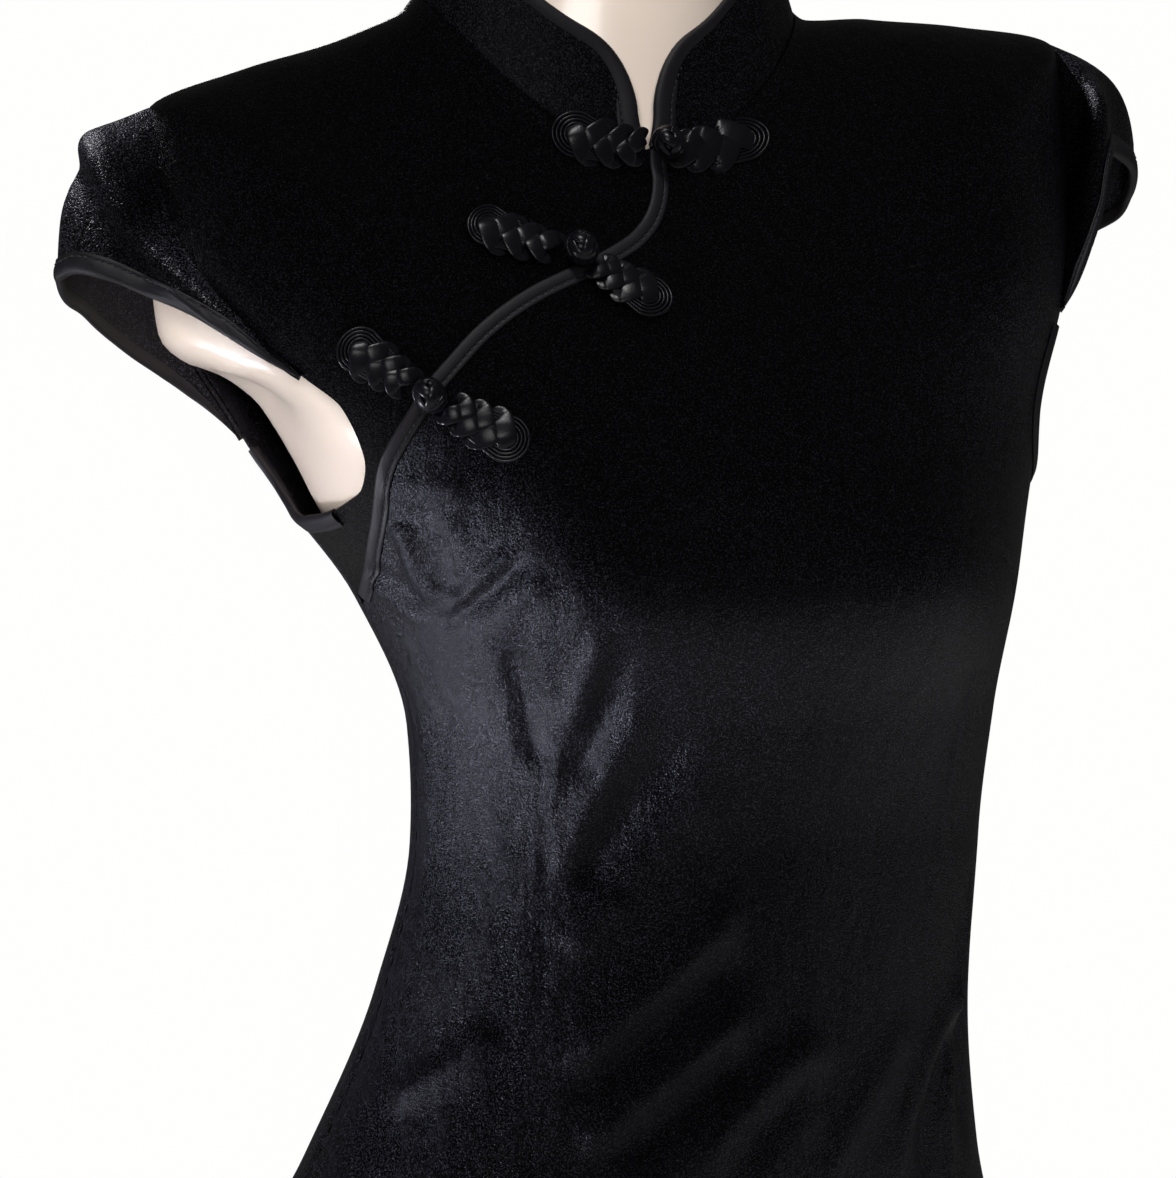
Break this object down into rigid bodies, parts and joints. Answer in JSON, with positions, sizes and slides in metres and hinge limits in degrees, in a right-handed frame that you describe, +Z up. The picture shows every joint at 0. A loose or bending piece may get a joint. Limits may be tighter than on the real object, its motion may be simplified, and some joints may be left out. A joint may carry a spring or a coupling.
{
  "type": "qipao on a limbless dress form with a stand",
  "caption": "Slim qipao with a stand collar, curved side-front opening, cap sleeves and knotted frog closures, worn by a limbless dress form on a pole stand.",
  "frame": {"origin": "middle of the underside of the round base, on the floor", "axes": "+Z up; the front of the dress looks along -Y; the wearer's right side, where it fastens, is at -X"},
  "size_m": [0.4706, 0.37, 1.496],
  "materials": {
    "velvet": "black stretch velvet with a short glossy pile that goes pale blue-grey at glancing angles",
    "satin": "black satin bias strip, softly glossy, edge-stitched",
    "form_shell": "smooth glossy pale cream lacquer over a moulded shell",
    "steel": "satin-polished chromed steel"
  },
  "bodies": {
    "root": {"front": "velvet", "front_shoulder": "velvet", "back": "velvet", "sleeve_right": "velvet", "sleeve_left": "velvet", "collar": "velvet", "sleeve_binding_right": "satin", "sleeve_binding_left": "satin", "collar_binding": "satin", "opening_binding": "satin", "armhole_binding_right": "satin", "armhole_binding_left": "satin", "frog_1_button_tab": "satin", "frog_1_loop_tab": "satin", "frog_1_knot": "satin", "frog_2_button_tab": "satin", "frog_2_loop_tab": "satin", "frog_2_knot": "satin", "frog_3_button_tab": "satin", "frog_3_loop_tab": "satin", "frog_3_knot": "satin", "dress_form": "form_shell", "pole": "steel", "base": "steel"}
  },
  "joints": []
}
